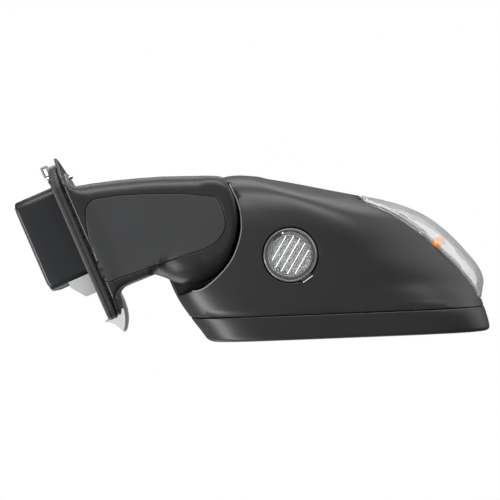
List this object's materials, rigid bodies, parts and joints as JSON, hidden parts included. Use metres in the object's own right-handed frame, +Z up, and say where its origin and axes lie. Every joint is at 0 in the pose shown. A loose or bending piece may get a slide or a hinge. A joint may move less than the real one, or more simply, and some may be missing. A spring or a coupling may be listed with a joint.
{
  "type": "car side mirror",
  "caption": "Left-hand door mirror with folding head, tilting heated glass, corner turn-signal lens and round lamp under the housing.",
  "frame": {"origin": "centre of the circle of three door bolts, on the plug's inboard end face", "axes": "+X outboard from the door, +Y towards the rear of the car along the mirror's own rear axis, +Z up"},
  "size_m": [0.3679, 0.1451, 0.1525],
  "materials": {
    "satin_black_plastic": "satin, fine grain",
    "matte_black_plastic": "matte",
    "cast_bracket": "as cast",
    "seal_rubber": "matte",
    "silver_paint": "satin silver",
    "grey_plastic": "matte",
    "spring_steel": "bright",
    "steel": "turned",
    "contact_metal": "plated",
    "nylon": "natural",
    "mirror_surface": "silvered glass",
    "heater_film": "film",
    "clear_lens": "clear",
    "amber_glass": "amber",
    "bulb_glass": "clear",
    "bright_reflector": "metallised",
    "satin_grey_trim": "satin"
  },
  "bodies": {
    "base": {"door_seal": "seal_rubber", "base_bracket": "cast_bracket", "plug_shroud": "matte_black_plastic", "harness_socket": "matte_black_plastic", "harness_pins": "contact_metal", "locating_foot": "grey_plastic", "retaining_clip": "spring_steel", "arm_cover": "satin_black_plastic", "arm_panel": "satin_black_plastic", "sail_trim": "silver_paint", "cover_screws": "steel", "pivot_tube": "steel", "detent_ring": "steel", "fold_gear": "steel", "fold_spring": "spring_steel", "spring_retainer": "steel"},
    "head": {"lower_shell": "satin_black_plastic", "upper_cover": "satin_black_plastic", "rear_bezel": "satin_black_plastic", "head_frame": "matte_black_plastic", "fold_gearbox": "matte_black_plastic", "fold_motor": "steel", "actuator_housing": "matte_black_plastic", "actuator_cover": "matte_black_plastic", "pitch_motor": "steel", "yaw_motor": "steel", "actuator_screws": "steel", "puddle_trim": "satin_grey_trim", "puddle_lens": "clear_lens", "puddle_reflector": "bright_reflector", "puddle_bulb": "bulb_glass", "puddle_socket": "matte_black_plastic", "indicator_lens": "clear_lens", "indicator_housing": "satin_grey_trim", "indicator_bulb": "amber_glass", "indicator_socket": "matte_black_plastic"},
    "fold_worm": {"fold_worm": "steel"},
    "gimbal": {"gimbal": "nylon"},
    "glass": {"glass_carrier": "matte_black_plastic", "heater_pad": "heater_film", "mirror_glass": "mirror_surface"},
    "pitch_plunger": {"pitch_plunger": "nylon"},
    "pitch_drive_nut": {"pitch_drive_nut": "nylon"},
    "pitch_worm": {"pitch_worm": "steel"},
    "yaw_plunger": {"yaw_plunger": "nylon"},
    "yaw_drive_nut": {"yaw_drive_nut": "nylon"},
    "yaw_worm": {"yaw_worm": "steel"}
  },
  "joints": [
    {"name": "head_fold", "type": "hinge", "parent": "base", "child": "head", "pos_m": [0.11977, -0.00545, 0], "axis": [0, 0, 1], "range_deg": [0, 36]},
    {"name": "fold_worm_spin", "type": "hinge", "parent": "head", "child": "fold_worm", "pos_m": [0.13767, -0.00545, 0.0245], "axis": [0, 1, 0], "range_deg": [0, 864]},
    {"name": "glass_yaw", "type": "hinge", "parent": "head", "child": "gimbal", "pos_m": [0.23527, 0.04755, 0.037], "axis": [0, 0, 1], "range_deg": [-7, 7]},
    {"name": "glass_pitch", "type": "hinge", "parent": "gimbal", "child": "glass", "pos_m": [0.23527, 0.04755, 0.037], "axis": [1, 0, 0], "range_deg": [-7, 7]},
    {"name": "pitch_plunger_slide", "type": "slide", "parent": "head", "child": "pitch_plunger", "axis": [0, 1, 0], "range_m": [-0.0038, 0.0038]},
    {"name": "yaw_plunger_slide", "type": "slide", "parent": "head", "child": "yaw_plunger", "axis": [0, 1, 0], "range_m": [-0.0038, 0.0038]},
    {"name": "pitch_nut_spin", "type": "hinge", "parent": "head", "child": "pitch_drive_nut", "pos_m": [0.23527, 0.03055, 0.007], "axis": [0, 1, 0], "range_deg": [-680, 680]},
    {"name": "yaw_nut_spin", "type": "hinge", "parent": "head", "child": "yaw_drive_nut", "pos_m": [0.26527, 0.03055, 0.037], "axis": [0, 1, 0], "range_deg": [-680, 680]},
    {"name": "pitch_worm_spin", "type": "hinge", "parent": "head", "child": "pitch_worm", "pos_m": [0.23527, 0.03085, 0.0168], "axis": [1, 0, 0], "range_deg": [-12200, 12200]},
    {"name": "yaw_worm_spin", "type": "hinge", "parent": "head", "child": "yaw_worm", "pos_m": [0.25547, 0.03085, 0.037], "axis": [0, 0, 1], "range_deg": [-12200, 12200]}
  ],
  "couplings": [
    {"joint": "fold_worm_spin", "follows": "head_fold", "ratio": 24},
    {"joint": "pitch_plunger_slide", "follows": "glass_pitch", "m_per_rad": 0.03},
    {"joint": "yaw_plunger_slide", "follows": "glass_yaw", "m_per_rad": 0.03},
    {"joint": "pitch_nut_spin", "follows": "glass_pitch", "ratio": 94.248},
    {"joint": "yaw_nut_spin", "follows": "glass_yaw", "ratio": 94.248},
    {"joint": "pitch_worm_spin", "follows": "glass_pitch", "ratio": 1696.5},
    {"joint": "yaw_worm_spin", "follows": "glass_yaw", "ratio": 1696.5}
  ]
}
